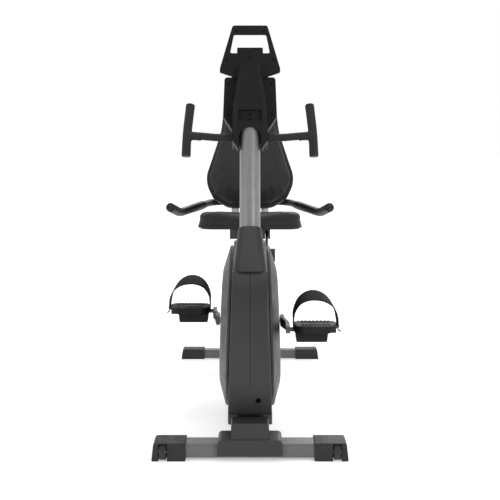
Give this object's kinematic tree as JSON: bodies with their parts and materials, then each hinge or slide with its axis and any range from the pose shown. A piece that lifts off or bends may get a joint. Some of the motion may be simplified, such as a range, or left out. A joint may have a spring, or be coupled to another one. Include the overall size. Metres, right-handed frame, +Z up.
{
  "type": "recumbent exercise bike",
  "caption": "Recumbent exercise bike with sliding seat, belt-driven flywheel in a two-part casing, leaning mast, console with tablet rack, strapped pedals and side handlebars.",
  "frame": {"origin": "on the floor under the middle of the bike's box", "axes": "+Z up, -Y to the bike's front, +X to the rider's left"},
  "size_m": [0.6252, 1.5798, 1.2805],
  "materials": {
    "frame_paint": "satin grey powder coat",
    "mast_paint": "metallic grey paint",
    "seat_frame_paint": "light grey paint",
    "tube_black": "gloss black paint",
    "bar_paint": "satin black paint",
    "carriage_paint": "satin black powder coat",
    "crank_paint": "dark grey satin paint",
    "rail_metal": "brushed anodised",
    "casing_plastic": "fine satin grain",
    "head_plastic": "fine grain",
    "foot_plastic": "moulded grain",
    "pedal_plastic": "moulded grain",
    "shell_plastic": "moulded grain",
    "strap_rubber": "matt",
    "grip_rubber": "matt foam rubber",
    "plug_plastic": "gloss",
    "wheel_plastic": "satin",
    "vinyl": "soft vinyl",
    "bare_steel": "zinc plated",
    "screw_black": "black zinc",
    "iron": "machined",
    "brake_steel": "zinc plated",
    "pulley_nylon": "moulded",
    "belt_rubber": "ribbed",
    "lens": "clear dark",
    "board_green": "solder mask",
    "key_rubber": "matt"
  },
  "bodies": {
    "frame": {"brake_servo": "pulley_nylon", "console_bezel": "head_plastic", "console_board": "board_green", "console_housing": "head_plastic", "cover_screws": "screw_black", "display_lens": "lens", "drive_bearings": "bare_steel", "drive_belt": "belt_rubber", "drive_frame": "frame_paint", "frame_bolts": "bare_steel", "front_end_caps": "foot_plastic", "front_stabiliser": "frame_paint", "handlebar": "bar_paint", "handlebar_end_caps": "plug_plastic", "handlebar_grips": "grip_rubber", "head_cover_front": "head_plastic", "head_cover_rear": "head_plastic", "lower_beam": "frame_paint", "mast": "mast_paint", "neck_cover": "casing_plastic", "power_jack": "plug_plastic", "rail_end_caps": "foot_plastic", "rail_posts": "seat_frame_paint", "rear_end_caps": "foot_plastic", "rear_stabiliser": "frame_paint", "seat_rail": "rail_metal", "shroud_left": "casing_plastic", "shroud_right": "casing_plastic", "side_panel_left": "casing_plastic", "side_panel_right": "casing_plastic", "stabiliser_cover": "casing_plastic", "tablet_rack": "head_plastic"},
    "wheel_left": {"transport_wheel_left": "wheel_plastic"},
    "wheel_right": {"transport_wheel_right": "wheel_plastic"},
    "crank": {"crank_axle": "bare_steel", "drive_pulley": "pulley_nylon", "crank_arm_left": "crank_paint", "crank_arm_right": "crank_paint", "crank_caps": "plug_plastic", "pedal_spindles": "bare_steel"},
    "pedal_left": {"pedal_left": "pedal_plastic", "pedal_strap_left": "strap_rubber"},
    "pedal_right": {"pedal_right": "pedal_plastic", "pedal_strap_right": "strap_rubber"},
    "flywheel": {"flywheel": "iron", "flywheel_shaft": "bare_steel"},
    "brake_arm": {"brake_arm": "brake_steel", "brake_magnets": "brake_steel"},
    "seat": {"seat_carriage": "carriage_paint", "seat_frame": "seat_frame_paint", "seat_pan": "shell_plastic", "seat_cushion": "vinyl", "back_shell": "shell_plastic", "back_cushion": "vinyl", "seat_handlebar": "tube_black", "seat_grips": "grip_rubber"},
    "seat_lever": {"seat_lever": "carriage_paint"},
    "lock_pad": {"lock_pad": "pulley_nylon"},
    "key_start": {"key_start": "key_rubber"},
    "key_mode": {"key_mode": "key_rubber"}
  },
  "joints": [
    {"name": "wheel_left_spin", "type": "hinge", "parent": "frame", "child": "wheel_left", "pos_m": [0.2525, -0.766, 0.026], "axis": [1, 0, 0], "continuous": true},
    {"name": "wheel_right_spin", "type": "hinge", "parent": "frame", "child": "wheel_right", "pos_m": [-0.2525, -0.766, 0.026], "axis": [1, 0, 0], "continuous": true},
    {"name": "crank_spin", "type": "hinge", "parent": "frame", "child": "crank", "pos_m": [0, -0.316, 0.332], "axis": [1, 0, 0], "continuous": true},
    {"name": "pedal_left_spin", "type": "hinge", "parent": "crank", "child": "pedal_left", "pos_m": [0.206, -0.486, 0.332], "axis": [1, 0, 0], "continuous": true},
    {"name": "pedal_right_spin", "type": "hinge", "parent": "crank", "child": "pedal_right", "pos_m": [-0.206, -0.146, 0.332], "axis": [1, 0, 0], "continuous": true},
    {"name": "flywheel_spin", "type": "hinge", "parent": "frame", "child": "flywheel", "pos_m": [0, -0.506, 0.313], "axis": [1, 0, 0], "continuous": true},
    {"name": "brake_arm_pivot", "type": "hinge", "parent": "frame", "child": "brake_arm", "pos_m": [-0.035, -0.56, 0.45], "axis": [1, 0, 0], "range_deg": [0, 8]},
    {"name": "seat_slide", "type": "slide", "parent": "frame", "child": "seat", "axis": [0, 0.9981, 0.061], "range_m": [-0.14, 0.2]},
    {"name": "seat_lever_pivot", "type": "hinge", "parent": "seat", "child": "seat_lever", "pos_m": [0.062, 0.232, 0.56], "axis": [-1, 0, 0], "range_deg": [0, 30], "stiffness_Nm_per_rad": 1, "springref_deg": -5.73},
    {"name": "lock_pad_slide", "type": "slide", "parent": "seat", "child": "lock_pad", "axis": [0, 0, 1], "range_m": [0, 0.003]},
    {"name": "key_start_press", "type": "slide", "parent": "frame", "child": "key_start", "axis": [0, -0.9563, 0.2924], "range_m": [0, 0.0012], "stiffness_N_per_m": 300, "springref_m": -0.001},
    {"name": "key_mode_press", "type": "slide", "parent": "frame", "child": "key_mode", "axis": [0, -0.9563, 0.2924], "range_m": [0, 0.0012], "stiffness_N_per_m": 300, "springref_m": -0.001}
  ],
  "couplings": [
    {"joint": "flywheel_spin", "follows": "crank_spin", "ratio": 8.6667},
    {"joint": "lock_pad_slide", "follows": "seat_lever_pivot", "m_per_rad": 0.0057}
  ]
}
